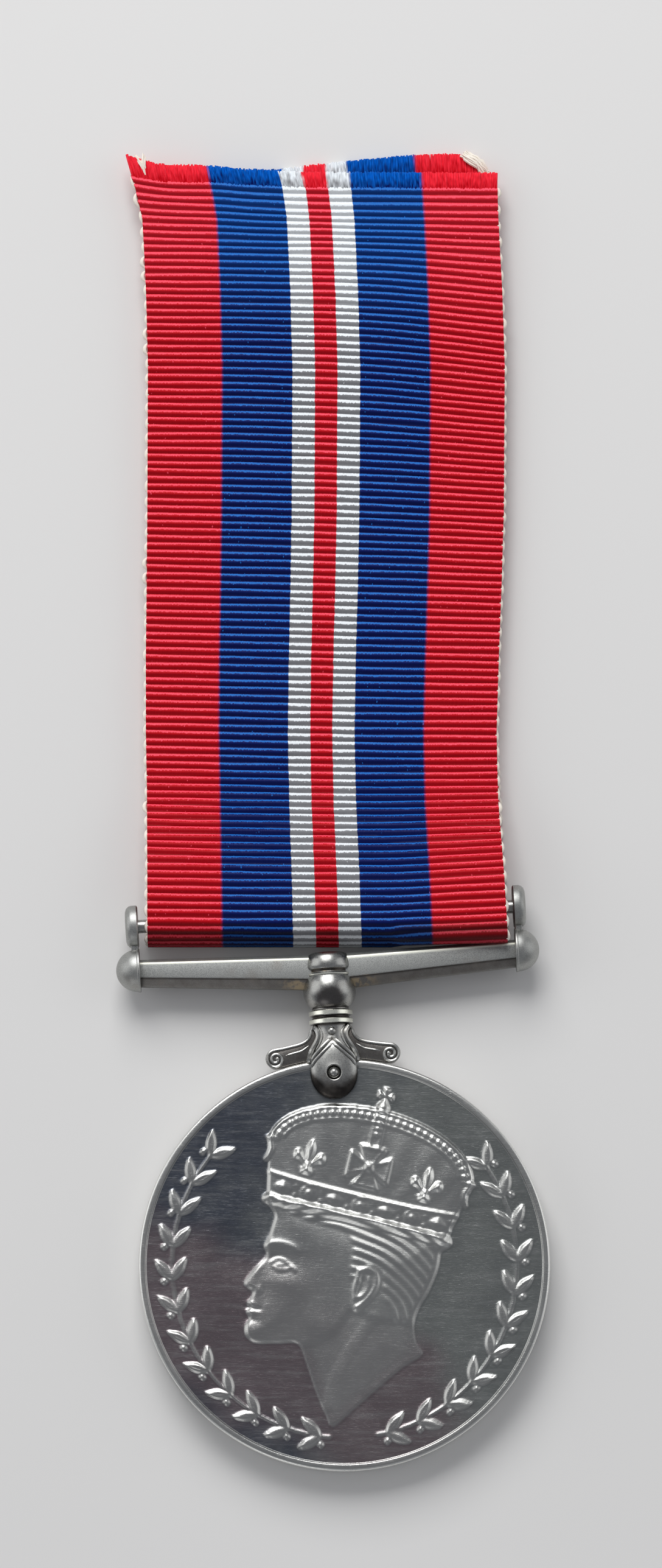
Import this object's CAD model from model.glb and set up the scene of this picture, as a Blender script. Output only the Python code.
import bpy
import math
import numpy as np
from mathutils import Matrix, Vector


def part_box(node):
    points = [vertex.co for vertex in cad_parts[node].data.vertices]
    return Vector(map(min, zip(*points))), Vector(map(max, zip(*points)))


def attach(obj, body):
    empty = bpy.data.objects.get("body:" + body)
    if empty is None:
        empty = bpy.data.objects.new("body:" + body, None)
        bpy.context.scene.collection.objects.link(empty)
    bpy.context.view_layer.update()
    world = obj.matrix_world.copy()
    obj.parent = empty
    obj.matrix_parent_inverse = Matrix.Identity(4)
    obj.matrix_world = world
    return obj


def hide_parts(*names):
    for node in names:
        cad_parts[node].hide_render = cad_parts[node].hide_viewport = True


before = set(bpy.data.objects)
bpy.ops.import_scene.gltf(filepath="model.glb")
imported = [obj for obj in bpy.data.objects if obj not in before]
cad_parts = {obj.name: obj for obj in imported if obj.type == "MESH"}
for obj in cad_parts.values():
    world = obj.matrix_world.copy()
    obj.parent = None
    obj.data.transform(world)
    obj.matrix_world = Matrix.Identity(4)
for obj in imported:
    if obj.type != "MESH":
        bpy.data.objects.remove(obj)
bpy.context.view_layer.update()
rng = np.random.default_rng(11)

# Everything is drawn in millimetres. Metal parts are drawn flat, round the medal's centre,
# and then laid down on the claw's back. The ribbon is drawn where it lies.
metal = {"medalWide": 36, "medalThick": 3, "rimWide": 0.55, "rimHigh": 0.25, "rimRound": 0.25,
         "clawThick": 4.7, "pinInset": 1.2, "turn": 3.1}
medalR = metal["medalWide"] / 2
pinY = medalR - metal["pinInset"]
clawProud = (metal["clawThick"] - metal["medalThick"]) / 2
restTilt = math.atan(clawProud / (pinY + medalR))
metalLift = medalR * math.sin(restTilt) + metal["medalThick"] / 2 * math.cos(restTilt)
discLow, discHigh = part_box("medal_disc")
midX = -500 * (discLow[0] + discHigh[0])
midY = -500 * (discLow[1] + discHigh[1])
toMetres = Matrix.Scale(0.001, 4)
lying = (toMetres @ Matrix.Translation((-midX, -midY, metalLift))
         @ Matrix.Rotation(math.radians(metal["turn"]), 4, "Z") @ Matrix.Rotation(restTilt, 4, "X"))
flatOnFloor = toMetres @ Matrix.Translation((-midX, -midY, 0))


# small tools for modelling

def objectMode():
    if bpy.context.object and bpy.context.object.mode != "OBJECT":
        bpy.ops.object.mode_set(mode="OBJECT")


def clearSelection():
    objectMode()
    bpy.ops.object.select_all(action="DESELECT")


def activate(piece):
    clearSelection()
    piece.select_set(True)
    bpy.context.view_layer.objects.active = piece


def named(name):
    piece = bpy.context.object
    piece.name = piece.data.name = name
    return piece


def pointsOf(piece):
    flat = np.empty(len(piece.data.vertices) * 3)
    piece.data.vertices.foreach_get("co", flat)
    return flat.reshape(-1, 3)


def setPoints(piece, points):
    piece.data.vertices.foreach_set("co", np.ascontiguousarray(points, float).ravel())
    piece.data.update()


# puts only these points' edges in the selection, and goes to edit mode
def editLoop(piece, loop):
    objectMode()
    bpy.context.tool_settings.mesh_select_mode = (True, False, False)
    mesh = piece.data
    chosen = np.zeros(len(mesh.vertices), bool)
    chosen[loop] = True
    for group in (mesh.polygons, mesh.edges):
        group.foreach_set("select", np.zeros(len(group), bool))
    mesh.vertices.foreach_set("select", chosen)
    bpy.ops.object.mode_set(mode="EDIT")
    bpy.ops.mesh.select_mode(type="EDGE")


# extrudes a loop of edges ring by ring, to the given points
def growLoop(piece, loop, rings):
    for ring in rings:
        before = pointsOf(piece)[loop]
        editLoop(piece, loop)
        bpy.ops.mesh.extrude_edges_move()
        objectMode()
        chosen = np.zeros(len(piece.data.vertices), bool)
        piece.data.vertices.foreach_get("select", chosen)
        new = np.flatnonzero(chosen)
        points = pointsOf(piece)
        order = np.array([new[np.argmin(((points[new] - p) ** 2).sum(1))] for p in before])
        points[order] = ring
        setPoints(piece, points)
        loop = order
    return loop


def closeLoop(piece, loop):
    editLoop(piece, loop)
    bpy.ops.mesh.edge_face_add()
    objectMode()


def editAll(piece):
    activate(piece)
    bpy.ops.object.mode_set(mode="EDIT")
    bpy.ops.mesh.select_all(action="SELECT")


def tidyNormals(piece):
    editAll(piece)
    bpy.ops.mesh.normals_make_consistent(inside=False)
    objectMode()


# a skin over rings of points, from the first to the last
def lofted(name, rings, closed=True):
    clearSelection()
    bpy.ops.mesh.primitive_circle_add(vertices=len(rings[0]), radius=1, fill_type="NOTHING")
    piece = named(name)
    setPoints(piece, rings[0])
    first = np.arange(len(rings[0]))
    last = growLoop(piece, first, rings[1:])
    if closed:
        closeLoop(piece, first)
        closeLoop(piece, last)
    tidyNormals(piece)
    return piece


def unitRing(angles):
    return np.stack([np.cos(angles), np.sin(angles)], 1)


def evenAngles(sides):
    return np.arange(sides) * 2 * math.pi / sides


# a flat outline at one height
def raised(flat, z):
    return np.column_stack([flat, np.full(len(flat), z)])


# one point of a circle in a profile or outline
def onArc(x, y, r, degrees):
    return x + r * math.cos(math.radians(degrees)), y + r * math.sin(math.radians(degrees))


# a turned part, from (place along the axis, radius)
def turned(name, profile, sides, axis, centre=(0, 0, 0)):
    ring = unitRing(evenAngles(sides))
    return lofted(name, [np.insert(r * ring, "XYZ".index(axis), along, axis=1) + np.array(centre)
                         for along, r in profile])


def ball(name, at, r, segments, rings):
    clearSelection()
    bpy.ops.mesh.primitive_uv_sphere_add(segments=segments, ring_count=rings, radius=r, location=at)
    bpy.ops.object.transform_apply(location=True)
    return named(name)


# a thread of metal along the points, drawn in at both ends
def wire(name, points, radius, closeness=4):
    endTaper = 0.55
    smooth = smoothPath(points, closeness)
    clearSelection()
    bpy.ops.curve.primitive_nurbs_path_add()
    curve = named(name).data
    curve.splines.clear()
    spline = curve.splines.new("POLY")
    spline.points.add(len(smooth) - 1)
    for i, (point, at) in enumerate(zip(spline.points, smooth)):
        point.co = (*at, 1)
        point.radius = endTaper ** max(0, 2 - min(i, len(smooth) - 1 - i))
    curve.bevel_depth, curve.bevel_resolution = radius, 2
    curve.use_fill_caps = True
    bpy.ops.object.convert(target="MESH")
    piece = bpy.context.object
    tidyNormals(piece)
    return piece


def modified(piece, kind, **settings):
    activate(piece)
    bpy.ops.object.modifier_add(type=kind)
    modifier = piece.modifiers[-1]
    for key, value in settings.items():
        setattr(modifier, key, value)
    bpy.ops.object.modifier_apply(modifier=modifier.name)
    return piece


def softened(piece, width):
    return modified(piece, "BEVEL", width=width, segments=2, limit_method="ANGLE",
                    angle_limit=math.radians(30))


def joined(name, parts):
    clearSelection()
    for part in parts:
        part.select_set(True)
    bpy.context.view_layer.objects.active = parts[0]
    bpy.ops.object.join()
    return named(name)


# gives the points a value, or one each, that the finishes read
def marked(piece, name, value):
    mark = piece.data.attributes.new(name, "FLOAT", "POINT")
    mark.data.foreach_set("value", np.zeros(len(piece.data.vertices)) + value)
    return piece


def cutBy(piece, cutter):
    modified(piece, "BOOLEAN", operation="DIFFERENCE", solver="EXACT", object=cutter)
    bpy.data.objects.remove(cutter)
    return piece


# lays a piece in its place, with its finish. Edges sharper than the angle stay sharp
def finished(piece, matrix, material, sharp):
    activate(piece)
    piece.data.transform(matrix)
    piece.data.materials.clear()
    piece.data.materials.append(material)
    bpy.ops.object.shade_smooth_by_angle(angle=math.radians(sharp))
    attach(piece, "root")
    return piece


# small tools for shapes

def smoothStep(t):
    t = np.clip(t, 0, 1)
    return t * t * (3 - 2 * t)


def catmull(a, b, c, d, t):
    return 0.5 * (2 * b + (c - a) * t + (2 * a - 5 * b + 4 * c - d) * t * t
                  + (3 * b - a - 3 * c + d) * t ** 3)


# smooth curves through points, closed or open
def smoothLoop(points, steps):
    p = np.array(points, float)
    n = len(p)
    return np.array([catmull(p[i - 1], p[i], p[(i + 1) % n], p[(i + 2) % n], j / steps)
                     for i in range(n) for j in range(steps)])


def smoothPath(points, steps):
    p = np.array(points, float)
    p = np.vstack([2 * p[0] - p[1], p, 2 * p[-1] - p[-2]])
    made = [catmull(p[i - 1], p[i], p[i + 1], p[i + 2], j / steps)
            for i in range(1, len(p) - 2) for j in range(steps)]
    return np.array(made + [p[-2]])


# how far along a path each of its points lies
def lengthsOf(path):
    return np.concatenate([[0], np.cumsum(np.hypot(*np.diff(path, axis=0).T))])


# one output of a node, so that shader maths reads as sums
class Socket:
    def __init__(self, tree, out):
        self.tree, self.out = tree, out

    def maths(self, operation, *others):
        return makeNode(self.tree, "ShaderNodeMath", {"operation": operation},
                        {i: v for i, v in enumerate((self, *others))})

    def __add__(self, other):
        return self.maths("ADD", other)

    __radd__ = __add__

    def __mul__(self, other):
        return self.maths("MULTIPLY", other)

    __rmul__ = __mul__

    def __sub__(self, other):
        return self.maths("SUBTRACT", other)

    def __rsub__(self, other):
        return (self * -1) + other

    def clamp(self):
        return makeNode(self.tree, "ShaderNodeClamp", {}, {"Value": self})

    # from 0 below low to 1 above high, smoothly. Low may be above high
    def rise(self, low, high):
        if low > high:
            return 1 - self.rise(high, low)
        return makeNode(self.tree, "ShaderNodeMapRange", {"interpolation_type": "SMOOTHSTEP"},
                        {"Value": self, "From Min": low, "From Max": high})


def makeNode(tree, kind, settings, inputs, output=0):
    node = tree.nodes.new(kind)
    for key, value in settings.items():
        setattr(node, key, value)
    for key, value in inputs.items():
        socket = node.inputs[key]
        if isinstance(value, Socket):
            tree.links.new(value.out, socket)
        else:
            socket.default_value = (*value, 1) if socket.type == "RGBA" else value
    return Socket(tree, node.outputs[output])


# a material with its shader, and short names for the nodes used here
class Finish:
    def __init__(self, name, **constants):
        self.material = bpy.data.materials.new(name)
        self.material.use_nodes = True
        self.tree = self.material.node_tree
        self.shader = self.tree.nodes["Principled BSDF"]
        for key, value in constants.items():
            self.shader.inputs[key.replace("_", " ")].default_value = value

    def node(self, kind, settings=None, output=0, **inputs):
        return makeNode(self.tree, kind, settings or {},
                        {k.replace("_", " "): v for k, v in inputs.items()}, output)

    # place on the object, measured from a centre, scaled and turned about Z
    def place(self, centre, scale, turn=0):
        at = self.node("ShaderNodeTexCoord", output=3)
        return self.node("ShaderNodeMapping", {"vector_type": "POINT"}, Vector=at,
                         Location=tuple(-c * s for c, s in zip(centre, scale)), Scale=scale,
                         Rotation=(0, 0, turn))

    def stretch(self, vector, across, along):
        return self.node("ShaderNodeMapping", {"vector_type": "POINT"}, Vector=vector,
                         Scale=(across, along, 1))

    def attribute(self, name):
        return self.node("ShaderNodeAttribute", {"attribute_name": name}, output=2)

    def split(self, vector):
        return [self.node("ShaderNodeSeparateXYZ", output=i, Vector=vector) for i in range(3)]

    def noise(self, vector, scale, detail=2, rough=0.5):
        return self.node("ShaderNodeTexNoise", Vector=vector, Scale=scale, Detail=detail,
                         Roughness=rough)

    def mix(self, share, first, second):
        return makeNode(self.tree, "ShaderNodeMix", {"data_type": "RGBA"},
                        {0: share, 6: first, 7: second}, 2)

    def feed(self, **values):
        for key, value in values.items():
            self.tree.links.new(value.out, self.shader.inputs[key.replace("_", " ")])

    def bump(self, height, distance, strength=1):
        return self.node("ShaderNodeBump", Height=height, Distance=distance, Strength=strength)


# finishes

inMillimetres = (1000, 1000, 1000)
discTone = {"slate": (0.112, 0.124, 0.153), "plum": (0.255, 0.205, 0.216),
            "grey": (0.285, 0.298, 0.287), "head": (0.39, 0.388, 0.38), "bright": (0.62, 0.62, 0.59),
            "hairline": (0.5, 0.5, 0.49), "rim": (0.8, 0.8, 0.77)}


def tonedDisc():
    tone = discTone
    look = Finish("toned_disc", Metallic=1.0)
    centre = lying @ Vector((0, 0, 0))
    # in shares of the medal's radius
    at = look.place(centre, (1000 / medalR,) * 3)
    x, y, _ = look.split(at)
    drift = look.noise(at, 2.2, 3) - 0.5
    mottle = look.noise(at, 9, 3, 0.65)
    left = (x + drift * 0.9 + (mottle - 0.5) * 0.6).rise(0.4, -0.7)
    colour = look.mix(left, tone["grey"], tone["slate"])
    # a warm band runs from the left edge down across the foot of the medal
    low = (y + x * 0.45 + drift * 0.7).rise(-0.02, -0.3)
    low *= (y + x * 0.5 + drift * 0.6).rise(-1.2, -0.85)
    colour = look.mix(low * (x + drift * 0.4).rise(0.7, 0.35) * 0.9, colour, tone["plum"])
    lines = look.noise(look.place(centre, (900, 14000, 900), 0.04), 1, 2, 0.6)
    fine = look.noise(look.place(centre, (2500, 30000, 900), 0.05), 1, 1, 0.5)
    streak = (lines * 0.6 + fine * 0.4).rise(0.5, 0.72)
    patches = look.noise(at, 5, 3).rise(0.35, 0.7)
    colour = look.mix(streak * patches * 0.35, colour, tone["hairline"])
    # wiping has left soft level smears
    smear = look.noise(look.place(centre, (260, 2800, 260), 0.04), 1, 3, 0.6).rise(0.42, 0.78)
    colour = look.mix(smear * 0.3, colour, tone["hairline"])
    worn = look.attribute("worn")
    colour = look.mix(worn.rise(0.03, 0.35) * 0.7, colour, tone["head"])
    colour = look.mix(worn.rise(0, 1) * 0.85, colour, tone["bright"])
    colour = look.mix(worn.rise(0.75, 1), colour, tone["rim"])
    look.feed(Base_Color=colour, Roughness=streak * 0.12 + 0.27 + patches * 0.06,
              Normal=look.bump(lines * 0.5 + fine * 0.5, 0.000012))
    return look.material


suspenderTone = {"dark": (0.36, 0.36, 0.345), "light": (0.46, 0.46, 0.44),
                 "pit": (0.3, 0.308, 0.298), "face": (0.45, 0.455, 0.44),
                 "tarnish": (0.13, 0.112, 0.1), "black": (0.03, 0.026, 0.024),
                 "stain": (0.29, 0.262, 0.23), "brass": (0.5, 0.4, 0.26),
                 "bulb": (0.07, 0.062, 0.06), "worn": (0.95, 0.95, 0.84)}


def suspenderGrey():
    tone = suspenderTone
    look = Finish("suspender_grey", Metallic=1.0)
    at = look.place((0, 0, 0), inMillimetres)
    grain = look.noise(at, 8, 2, 0.6)
    fine = look.noise(at, 16, 2, 0.6)
    cloud = look.noise(at, 1.2, 2)
    grained, tarnish, worn = (look.attribute(name) for name in ("grained", "tarnish", "worn"))
    colour = look.mix(grain.rise(0.3, 0.75), tone["dark"], tone["light"])
    speckle = look.mix(fine.rise(0.36, 0.6), tone["pit"], tone["face"])
    colour = look.mix(grained, colour, speckle)
    # tarnish thins out below the dark line under the bar's face
    colour = look.mix(tarnish.rise(0.1, 0.6) * (0.5 + cloud * 0.45), colour, tone["tarnish"])
    colour = look.mix(tarnish.rise(0.84, 0.98) * 0.85, colour, tone["black"])
    # millimetres from the claw's pin, across the stem and along it
    x, y, _ = look.split(look.place(lying @ Vector((0, pinY, 0)), inMillimetres))
    x = x + y * math.tan(math.radians(metal["turn"]))
    colour = look.mix((y + cloud).rise(0.5, -1.2) * 0.6, colour, tone["tarnish"])
    clawFoot = (y - x * x * 0.35 + cloud * 0.6).rise(-0.5, -1.35) * (x * x).rise(7, 5)
    colour = look.mix(clawFoot * 0.95, colour, tone["black"])
    colour = look.mix(look.noise(at, 0.45, 3).rise(0.52, 0.75) * 0.4, colour, tone["stain"])
    bulb = x * x * 0.5 + (y - 6.5) * (y - 6.5) * 0.9 + (cloud - 0.5) * 0.7
    colour = look.mix(bulb.rise(1.3, 0.4) * 0.85, colour, tone["bulb"])
    # brassy patches low on the bar, on both sides of the stem
    side = (x.maths("ABSOLUTE") + fine * 1.2).rise(5.5, 3.2) * y.rise(6.0, 7.0)
    patch = look.noise(at, 1.7, 2).rise(0.4, 0.6)
    colour = look.mix(tarnish.rise(0.3, 0.5) * tarnish.rise(0.95, 0.8) * side * patch * 0.8,
                      colour, tone["brass"])
    colour = look.mix(worn.rise(0.86, 1), colour, tone["worn"])
    look.feed(Base_Color=colour, Roughness=grain * 0.14 + 0.22 + grained * 0.24,
              Normal=look.bump(fine, 0.000009, 0.6))
    return look.material


stripes = {"red": (0.6, 0.0, 0.008), "blue": (0.0, 0.007, 0.115), "white": (0.27, 0.272, 0.286),
           "redLit": (1.0, 0.085, 0.14), "blueLit": (0.014, 0.16, 0.58), "whiteLit": (0.93, 0.97, 1.0),
           "redTip": (1.0, 0.035, 0.065), "blueTip": (0.0, 0.14, 0.62),
           "cream": (0.83, 0.74, 0.62), "creamLit": (0.95, 0.9, 0.82),
           # where each colour gives way to the next, in millimetres from the middle
           "steps": (1.0, 3.03, 9.33), "wide": 31.9, "blend": 0.04, "redBlend": 0.17,
           # where the fold's shade comes and goes, in ribs from the cut end
           "foldShade": (100.2, 102, 112, 116)}


# the silk's map runs from 0 to 1 across, and along it counts the ribs from the front's cut end
def stripedSilk(name, loose):
    look = Finish(name, Specular_IOR_Level=0.14)
    uv = look.node("ShaderNodeTexCoord", output=2)
    across, along, _ = look.split(uv)

    # a number round nought that strays across and along the silk, so many times each
    def stray(across, along, detail, size):
        return (look.noise(look.stretch(uv, across, along), 1.0, detail) - 0.5) * size

    fromMiddle = ((across - 0.5) * stripes["wide"]).maths("ABSOLUTE") + stray(266, 1.7, 1, 0.16)
    blend, redBlend = stripes["blend"], stripes["redBlend"]
    one, two, three = stripes["steps"]

    def striped(red, white, blue):
        made = look.mix(fromMiddle.rise(one - blend, one + blend), stripes[red], stripes[white])
        made = look.mix(fromMiddle.rise(two - blend, two + blend), made, stripes[blue])
        return look.mix(fromMiddle.rise(three - redBlend, three + redBlend), made, stripes[red])

    colour = striped("red", "white", "blue")
    tips = striped("redTip", "whiteLit", "blueTip")
    threads = look.noise(look.stretch(uv, 330, 0.5), 1.0, 2)
    # a bright line runs along each rib where its threads turn over towards the light
    phase = along.maths("FRACT")
    edge, sag = stray(210, 1.0, 1, 0.36), stray(14, 1.0, 2, 0.16)
    # near the cut end, and in the white stripes, the bright line is wider
    cutEnd = along.rise(26, 2) * 0.08
    pale = fromMiddle.rise(two + blend, two - blend) * fromMiddle.rise(one - blend, one + blend)
    foldEnd = along.rise(70, 104) * 0.06
    lit = phase + sag + edge - cutEnd - pale * 0.12 + foldEnd
    line = (phase + sag + edge * 0.4).rise(0.05, 0.12) * lit.rise(0.4, 0.28)
    # here and there a thread stands out as a speck
    speck = look.noise(look.stretch(uv, 150, 2.1), 1.0, 0).rise(0.8, 0.86) * 0.8
    if loose:
        colour = look.mix((phase * 1.1 + stray(60, 3.3, 0, 1.6)).clamp(), colour, tips)
    else:
        colour = look.mix(along.rise(24, 2) * 0.3, colour, tips)
        # ribs darken away from the light, and a little more in the grooves
        groove = (phase - 0.5).maths("ABSOLUTE").rise(0.4, 0.5)
        shade = (phase + sag).rise(0.36, 0.75) * 0.4 + groove * 0.15
        # and the fold's nose lies in the shade of its own front
        comes, full, fades, gone = stripes["foldShade"]
        nose = along.rise(comes, full) * along.rise(gone, fades) * 0.7
        shade = shade + nose * (1 - shade)
        colour = look.mix(shade * (1 - pale * 0.6), colour, (0, 0, 0))
        gain = (line * 0.95 + pale * cutEnd * 5 + speck).clamp() * (1 - nose)
        colour = look.mix(gain, colour, striped("redLit", "whiteLit", "blueLit"))
    look.feed(Base_Color=colour, Roughness=threads * 0.2 + 0.35, Normal=look.bump(threads, 0.00005))
    return look.material


def creamThread():
    look = Finish("cream_thread", Roughness=0.5)
    grain = look.noise(look.place((0, 0, 0), inMillimetres), 7, 2)
    look.feed(Base_Color=look.mix(grain, stripes["cream"], stripes["creamLit"]))
    return look.material


discMetal = tonedDisc()
suspenderMetal = suspenderGrey()
silk = stripedSilk("striped_silk", False)
looseSilk = stripedSilk("loose_silk", True)
cream = creamThread()
print("finishes made")


# the raised design on the medal's face

# heights over points, in millimetres, that forms are struck into
class Relief:
    def __init__(self, x, y, high):
        self.x, self.y, self.high = x, y, high

    def turned(self, at, degrees):
        a = math.radians(degrees)
        x, y = self.x - at[0], self.y - at[1]
        c, s = math.cos(a), math.sin(a)
        return Relief(x * c + y * s, y * c - x * s, self.high)

    def near(self, points, reach):
        low, top = np.min(points, 0) - reach, np.max(points, 0) + reach
        return np.flatnonzero((self.x > low[0]) & (self.x < top[0])
                              & (self.y > low[1]) & (self.y < top[1]))

    def fromLine(self, points, chosen):
        best = np.full(len(chosen), 1e9)
        x, y = self.x[chosen], self.y[chosen]
        for a, b in zip(points[:-1], points[1:]):
            e = b - a
            px, py = x - a[0], y - a[1]
            t = np.clip((px * e[0] + py * e[1]) / max(e @ e, 1e-12), 0, 1)
            best = np.minimum(best, (px - e[0] * t) ** 2 + (py - e[1] * t) ** 2)
        return np.sqrt(best)

    def inside(self, outline, chosen):
        distance = self.fromLine(np.vstack([outline, outline[:1]]), chosen)
        x, y = self.x[chosen], self.y[chosen]
        within = np.zeros(len(chosen), bool)
        for a, b in zip(outline, np.roll(outline, -1, 0)):
            rise = b[1] - a[1]
            if rise:
                crossing = (b[0] - a[0]) * (y - a[1]) / rise + a[0]
                within ^= ((a[1] > y) != (b[1] > y)) & (x < crossing)
        return np.where(within, distance, -distance)

    def dome(self, at, r, high):
        chosen = self.near([at], r)
        away = np.hypot(self.x[chosen] - at[0], self.y[chosen] - at[1]) / r
        self.high[chosen] += high * np.sqrt(np.clip(1 - away ** 2, 0, 1))

    def swell(self, at, rx, ry, high):
        chosen = self.near([at], 2.6 * max(rx, ry))
        away = ((self.x[chosen] - at[0]) / rx) ** 2 + ((self.y[chosen] - at[1]) / ry) ** 2
        self.high[chosen] += high * np.exp(-away)

    def line(self, points, half, high):
        points = np.array(points, float)
        chosen = self.near(points, half)
        away = self.fromLine(points, chosen) / half
        self.high[chosen] += high * np.clip(1 - away ** 2, 0, 1) ** 0.8

    def plate(self, outline, edge, high, floor=None):
        outline = np.array(outline, float)
        chosen = self.near(outline, 0)
        depth = self.inside(outline, chosen)
        added = high * smoothStep(depth / edge)
        if floor is None:
            self.high[chosen] += added
        else:
            self.high[chosen] = np.maximum(self.high[chosen], floor + added)
        return chosen, depth


# outlines are shares of the face's length, from the crown's band down to the chin
head = {"faceLong": 12.6, "at": (1.296, 3.888), "lean": -16.5, "edge": 0.3, "edgeHigh": 0.2,
        "swell": 0.3, "swellWide": 2.3, "neckDrop": 0.11, "lockWide": 0.78, "lockHigh": 0.055}
faceOutline = [
    (-0.545, 0.02), (-0.56, -0.12), (-0.57, -0.25), (-0.585, -0.33), (-0.56, -0.385), (-0.6, -0.47),
    (-0.66, -0.59), (-0.645, -0.635), (-0.59, -0.655), (-0.595, -0.7), (-0.612, -0.735),
    (-0.585, -0.765), (-0.602, -0.8), (-0.575, -0.84), (-0.585, -0.905), (-0.555, -0.975),
    (-0.48, -1.0), (-0.33, -0.965), (-0.2, -0.94), (-0.11, -1.06), (-0.01, -1.22), (0.1, -1.37),
    (0.172, -1.44), (0.29, -1.29), (0.44, -1.08), (0.56, -0.92), (0.665, -0.806), (0.6, -0.73),
    (0.56, -0.62), (0.568, -0.5), (0.605, -0.38), (0.632, -0.22), (0.625, -0.1), (0.6, 0.02)]
hairOutline = [
    (-0.5, 0.03), (-0.49, -0.07), (-0.3, -0.095), (-0.08, -0.11), (0.01, -0.2), (0.03, -0.38),
    (0.08, -0.42), (0.15, -0.33), (0.24, -0.33), (0.3, -0.5), (0.42, -0.64), (0.52, -0.6),
    (0.53, -0.5), (0.565, -0.38), (0.59, -0.22), (0.585, -0.1), (0.56, 0.03)]
jawOutline = [
    (-0.48, -1.0), (-0.2, -0.93), (0.0, -0.78), (0.09, -0.6), (0.3, -0.62), (0.6, -0.6), (0.9, -0.9),
    (0.5, -1.7), (-0.6, -1.7)]
earOutline = [
    (0.1, -0.35), (0.15, -0.31), (0.215, -0.32), (0.25, -0.39), (0.235, -0.48), (0.19, -0.56),
    (0.14, -0.625), (0.095, -0.6), (0.09, -0.51), (0.07, -0.43)]
# soft forms: x, y, half width, half height, height in millimetres
faceForms = [
    # brow, eye socket, eyeball
    (-0.52, -0.3, 0.07, 0.035, 0.07), (-0.4, -0.29, 0.1, 0.03, 0.045),
    (-0.49, -0.4, 0.06, 0.055, -0.12), (-0.39, -0.4, 0.06, 0.045, -0.06),
    (-0.448, -0.428, 0.048, 0.032, 0.12),
    # bridge and wing of the nose, nostril
    (-0.6, -0.5, 0.032, 0.11, 0.06), (-0.548, -0.632, 0.03, 0.034, 0.12),
    (-0.61, -0.625, 0.03, 0.03, 0.05),
    # cheekbone, hollow of the cheek, fold beside the mouth
    (-0.33, -0.54, 0.13, 0.075, 0.09), (-0.29, -0.74, 0.11, 0.1, -0.06),
    (-0.5, -0.7, 0.024, 0.055, -0.05),
    # lips, hollow below them, chin
    (-0.575, -0.742, 0.035, 0.015, 0.08), (-0.565, -0.792, 0.036, 0.018, 0.085),
    (-0.55, -0.842, 0.04, 0.02, -0.06), (-0.53, -0.92, 0.06, 0.05, 0.09),
    # jaw and temple
    (-0.08, -0.78, 0.13, 0.09, 0.07), (-0.23, -0.32, 0.11, 0.11, -0.05),
    (-0.43, -0.13, 0.12, 0.09, 0.06)]
# lines: half width as a share, height in millimetres, points
faceLines = [
    (0.016, 0.05, [(-0.57, -0.318), (-0.5, -0.282), (-0.42, -0.28), (-0.33, -0.318)]),
    (0.013, 0.09, [(-0.512, -0.432), (-0.48, -0.396), (-0.425, -0.392), (-0.365, -0.425),
                   (-0.335, -0.445)]),
    (0.011, 0.06, [(-0.5, -0.448), (-0.455, -0.468), (-0.4, -0.458), (-0.365, -0.432)]),
    (0.012, -0.07, [(-0.52, -0.61), (-0.51, -0.642), (-0.53, -0.668)]),
    (0.012, -0.12, [(-0.604, -0.766), (-0.555, -0.768), (-0.512, -0.76)]),
    (0.05, 0.04, [(0.27, -0.64), (0.18, -0.86), (0.11, -1.1), (0.105, -1.3)])]
earLines = [
    (0.022, 0.14, [(0.105, -0.42), (0.105, -0.35), (0.155, -0.318), (0.215, -0.335),
                   (0.24, -0.4), (0.225, -0.48), (0.18, -0.56), (0.14, -0.605)]),
    (0.016, 0.08, [(0.175, -0.385), (0.19, -0.43), (0.17, -0.5), (0.135, -0.53)]),
    (0.02, 0.09, [(0.098, -0.455), (0.1, -0.5), (0.112, -0.53)]),
    (0.022, -0.07, [(0.14, -0.41), (0.14, -0.46), (0.13, -0.495)])]
# the crown's width, parts that are shares of it, then sizes in millimetres
crown = {"wide": 16, "flare": 0.57, "shoulder": 0.32, "peak": 0.61, "gemPitch": 0.145,
         "crossAt": 0.29, "cross": 0.22, "fleurAt": (0.33, 0.25), "fleur": 0.2, "fleurBand": 0.2,
         "bandHigh": 2.25, "gemAt": 1.22, "gem": 0.42, "gemRing": 0.58, "lozenge": (0.62, 0.5),
         "pearl": 0.299, "pearls": 30, "roll": 0.5, "rollHigh": 0.32, "orb": 0.56, "topCross": 1.5}
fleurHalf = [(0.0, 0.62), (0.13, 0.36), (0.11, 0.12), (0.06, -0.02), (0.13, 0.08), (0.24, 0.24),
             (0.38, 0.26), (0.45, 0.12), (0.39, -0.04), (0.3, -0.02), (0.14, -0.12), (0.11, -0.2),
             (0.17, -0.38)]
# each branch: which way round, and how far in degrees
wreath = {"inset": 2.9, "leafLong": 2.3, "leafWide": 0.92, "pitch": 2.9, "spread": 36, "start": 11,
          "high": 0.24, "branches": ((1, 132), (-1, 138)), "berryOut": 0.72, "berry": 0.29}


def strikeLines(top, lines, size):
    for half, high, points in lines:
        top.line(smoothPath(np.array(points) * size, 5), half * size, high)


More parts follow.
